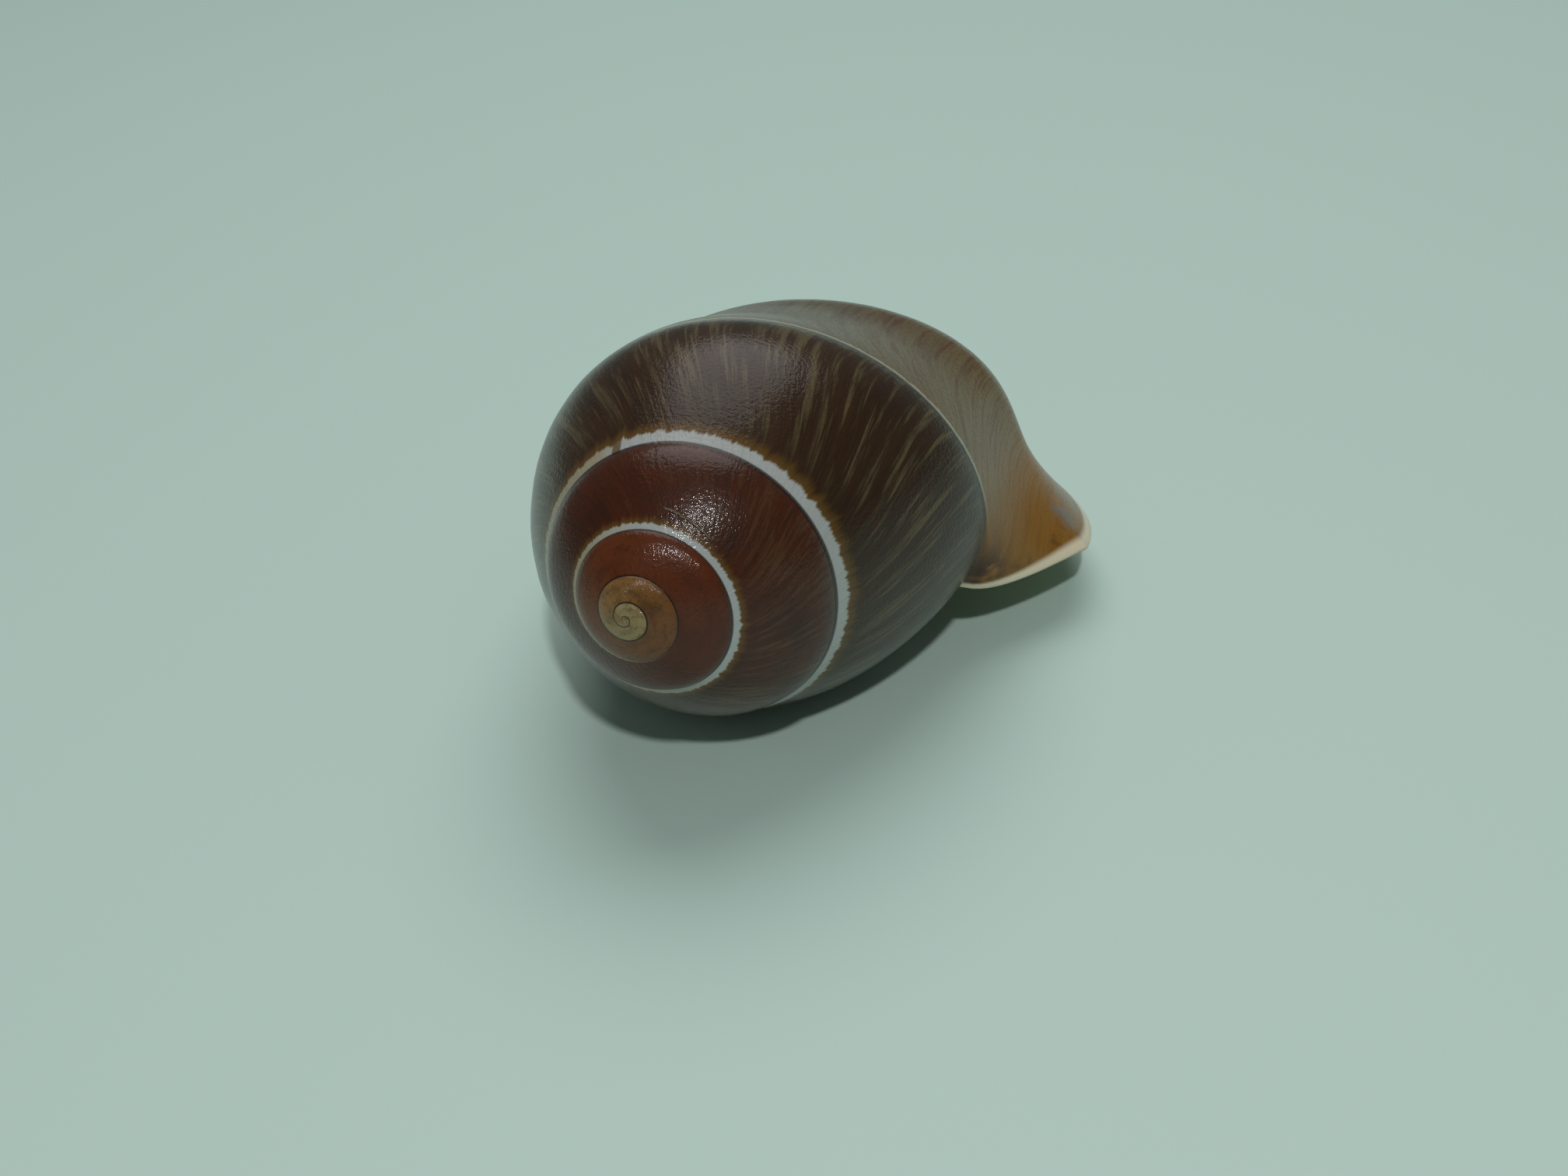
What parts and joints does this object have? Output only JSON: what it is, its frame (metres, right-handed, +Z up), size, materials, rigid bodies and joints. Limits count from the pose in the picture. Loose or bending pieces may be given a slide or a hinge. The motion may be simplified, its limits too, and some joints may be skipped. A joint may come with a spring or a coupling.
{
  "type": "land snail shell",
  "caption": "Right-handed egg-shaped land snail shell lying mouth down, with a stepped seam spiral and a wide, turned-out lip.",
  "frame": {"origin": "middle of the base of the bounding box, on the surface that the shell lies on", "axes": "+Z up as the shell lies mouth down; the apex points towards -Y, so the length runs along Y; the lip's upper corner reaches out towards +X"},
  "size_m": [0.0242, 0.0324, 0.0173],
  "materials": {
    "shell": "natural gloss, fine growth lines, pale band below the seam, cream lip"
  },
  "bodies": {
    "root": {"shell": "shell"}
  },
  "joints": []
}
